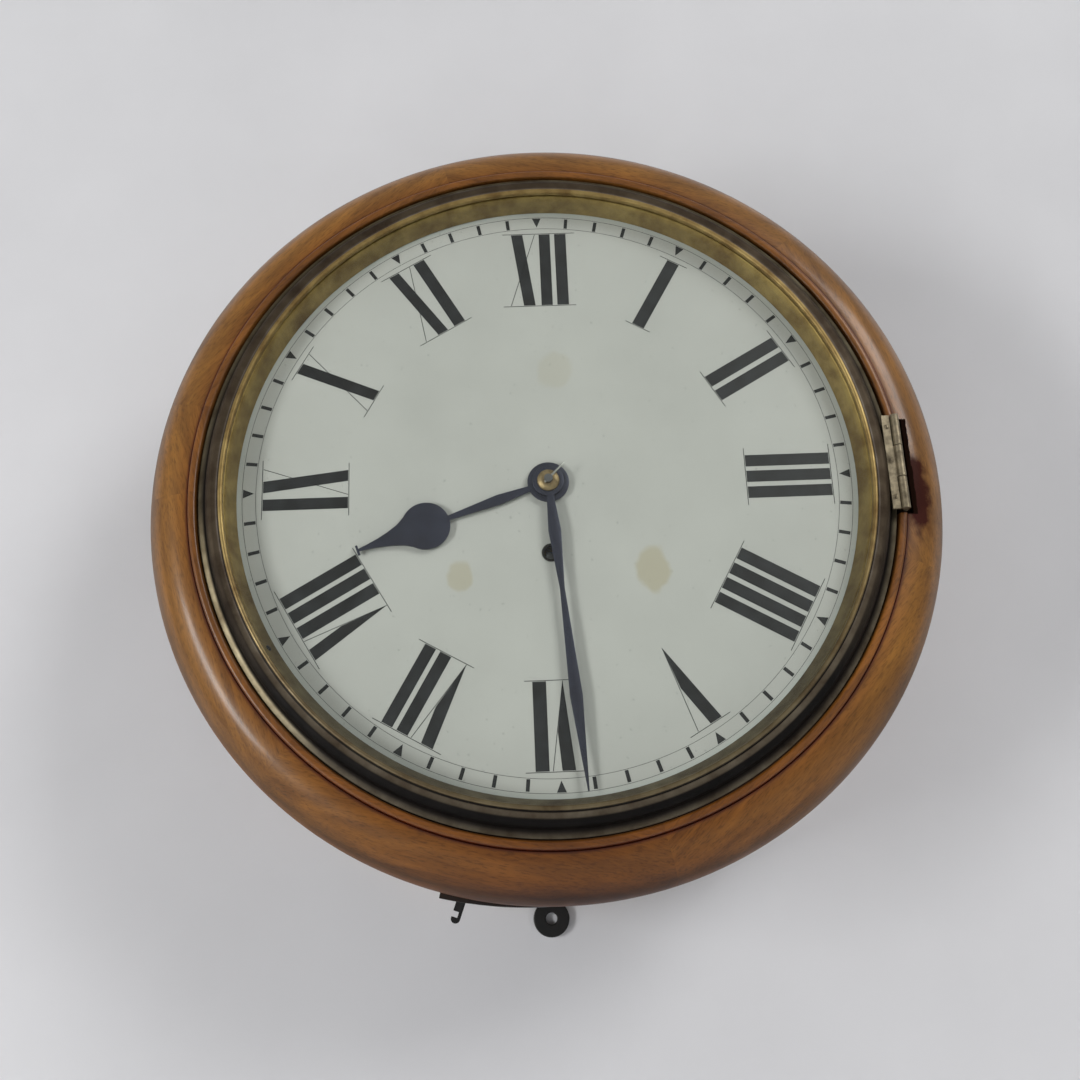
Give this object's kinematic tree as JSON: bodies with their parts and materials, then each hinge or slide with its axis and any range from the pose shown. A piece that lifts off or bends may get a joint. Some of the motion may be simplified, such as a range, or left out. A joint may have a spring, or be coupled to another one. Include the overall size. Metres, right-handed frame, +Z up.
{
  "type": "dial clock",
  "caption": "Round wall dial clock: turned wooden surround, hinged brass bezel, painted Roman dial and blued hands, with a pendulum fusee movement in a box case.",
  "frame": {"origin": "the point where the dial axis meets the wall plane", "axes": "+Z up, +X to the right as seen from the front, the dial faces -Y and the wall is y = 0"},
  "size_m": [0.3848, 0.1438, 0.3999],
  "materials": {
    "surround_wood": "old polish",
    "case_wood": "old polish",
    "back_wood": "bare, aged",
    "bezel_brass": "tarnished",
    "movement_brass": "bright",
    "steel": "bright",
    "blued_steel": "blued",
    "black_iron": "black",
    "dial_paint": "aged white paint",
    "clear_glass": "clear"
  },
  "bodies": {
    "case": {"dial_surround": "surround_wood", "left_side_board": "case_wood", "right_side_board": "case_wood", "top_board": "case_wood", "bottom_left_segment": "case_wood", "bottom_right_segment": "case_wood", "case_pegs": "case_wood", "backboard": "back_wood", "surround_battens": "back_wood", "bezel_hinge_fixed_leaf": "bezel_brass", "winding_eyelet": "bezel_brass", "side_door_hinge_fixed": "bezel_brass", "bottom_door_hinge_fixed": "bezel_brass", "front_plate": "movement_brass", "back_plate": "movement_brass", "plate_pillars": "movement_brass", "back_cock": "movement_brass", "barrel_arbor": "steel", "dial_feet": "steel", "fusee_line": "steel", "bottom_lug": "black_iron", "hanging_plate": "black_iron", "hook_stud": "black_iron", "dial_plate": "dial_paint"},
    "bezel": {"brass_bezel": "bezel_brass", "sight_ring": "bezel_brass", "bezel_glass": "clear_glass", "bezel_hinge_leaf": "bezel_brass"},
    "minute_work": {"minute_hand": "blued_steel", "cannon_pinion": "movement_brass", "hand_collet": "bezel_brass"},
    "hour_work": {"hour_hand": "blued_steel", "hour_wheel": "movement_brass"},
    "minute_wheel": {"minute_wheel": "movement_brass"},
    "centre_work": {"centre_arbor": "steel", "centre_wheel": "movement_brass", "hand_pin": "steel"},
    "third_work": {"third_arbor": "steel", "third_wheel": "movement_brass"},
    "escape_work": {"escape_arbor": "steel", "escape_wheel": "movement_brass"},
    "great_wheel": {"great_wheel": "movement_brass"},
    "fusee_work": {"fusee": "movement_brass", "fusee_arbor": "steel"},
    "barrel_work": {"barrel": "movement_brass", "mainspring": "steel"},
    "pallet_work": {"pallets": "steel", "pallet_arbor": "steel", "crutch": "steel"},
    "pendulum": {"suspension_spring": "steel", "pendulum_rod": "steel", "pendulum_bob": "movement_brass"},
    "rating_nut": {"rating_nut": "movement_brass"},
    "side_door": {"side_door": "case_wood", "side_door_hinge_leaves": "bezel_brass"},
    "side_button": {"side_door_button": "bezel_brass"},
    "bottom_door": {"bottom_door": "case_wood", "bottom_door_hinge_leaf": "bezel_brass", "hook_pin": "black_iron"},
    "hook": {"bottom_door_hook": "black_iron"}
  },
  "joints": [
    {"name": "bezel_hinge", "type": "hinge", "parent": "case", "child": "bezel", "pos_m": [0.1659, -0.1402, 0.0015], "axis": [0, 0, 1], "range_deg": [0, 105]},
    {"name": "minute_turn", "type": "hinge", "parent": "case", "child": "minute_work", "pos_m": [0, -0.13, 0], "axis": [0, 1, 0], "continuous": true},
    {"name": "hour_turn", "type": "hinge", "parent": "case", "child": "hour_work", "pos_m": [0, -0.13, 0], "axis": [0, 1, 0], "continuous": true},
    {"name": "minute_wheel_turn", "type": "hinge", "parent": "case", "child": "minute_wheel", "pos_m": [-0.02266, -0.112, 0.02266], "axis": [0, 1, 0], "continuous": true},
    {"name": "escape_turn", "type": "hinge", "parent": "case", "child": "escape_work", "pos_m": [0, -0.092, 0.03], "axis": [0, 1, 0], "continuous": true},
    {"name": "third_turn", "type": "hinge", "parent": "case", "child": "third_work", "pos_m": [0.02015, -0.084, 0.01643], "axis": [0, 1, 0], "continuous": true},
    {"name": "centre_turn", "type": "hinge", "parent": "case", "child": "centre_work", "pos_m": [0, -0.066, 0], "axis": [0, 1, 0], "continuous": true},
    {"name": "great_turn", "type": "hinge", "parent": "case", "child": "great_wheel", "pos_m": [0, -0.073, -0.0344], "axis": [0, 1, 0], "continuous": true},
    {"name": "fusee_turn", "type": "hinge", "parent": "case", "child": "fusee_work", "pos_m": [0, -0.085, -0.0344], "axis": [0, 1, 0], "continuous": true},
    {"name": "barrel_turn", "type": "hinge", "parent": "case", "child": "barrel_work", "pos_m": [-0.0395, -0.085, -0.074], "axis": [0, 1, 0], "continuous": true},
    {"name": "pendulum_swing", "type": "hinge", "parent": "case", "child": "pendulum", "pos_m": [0, -0.04295, 0.053], "axis": [0, 1, 0], "range_deg": [-3, 3]},
    {"name": "pallet_rock", "type": "hinge", "parent": "case", "child": "pallet_work", "pos_m": [0, -0.092, 0.053], "axis": [0, 1, 0], "range_deg": [-3, 3]},
    {"name": "rating_turn", "type": "hinge", "parent": "pendulum", "child": "rating_nut", "pos_m": [0, -0.04295, -0.134], "axis": [0, 0, 1], "continuous": true},
    {"name": "side_door_hinge", "type": "hinge", "parent": "case", "child": "side_door", "pos_m": [0.122, -0.0263, 0], "axis": [0, 0, 1], "range_deg": [0, 90]},
    {"name": "side_button_turn", "type": "hinge", "parent": "case", "child": "side_button", "pos_m": [0.1203, -0.0872, 0], "axis": [1, 0, 0], "range_deg": [0, 90]},
    {"name": "bottom_door_hinge", "type": "hinge", "parent": "case", "child": "bottom_door", "pos_m": [0.05731, -0.06, -0.18167], "axis": [0, -1, 0], "range_deg": [-3.4, 96.6]},
    {"name": "hook_swing", "type": "hinge", "parent": "bottom_door", "child": "hook", "pos_m": [-0.04722, -0.057, -0.18271], "axis": [0, 1, 0], "range_deg": [0, 60]}
  ],
  "couplings": [
    {"joint": "hour_turn", "follows": "minute_turn", "ratio": 0.083333},
    {"joint": "minute_wheel_turn", "follows": "minute_turn", "ratio": -1},
    {"joint": "third_turn", "follows": "escape_turn", "ratio": -0.08},
    {"joint": "centre_turn", "follows": "escape_turn", "ratio": 0.0066667},
    {"joint": "great_turn", "follows": "escape_turn", "ratio": -0.00055556},
    {"joint": "barrel_turn", "follows": "fusee_turn", "ratio": 0.76234},
    {"joint": "pallet_rock", "follows": "pendulum_swing", "ratio": 1}
  ]
}
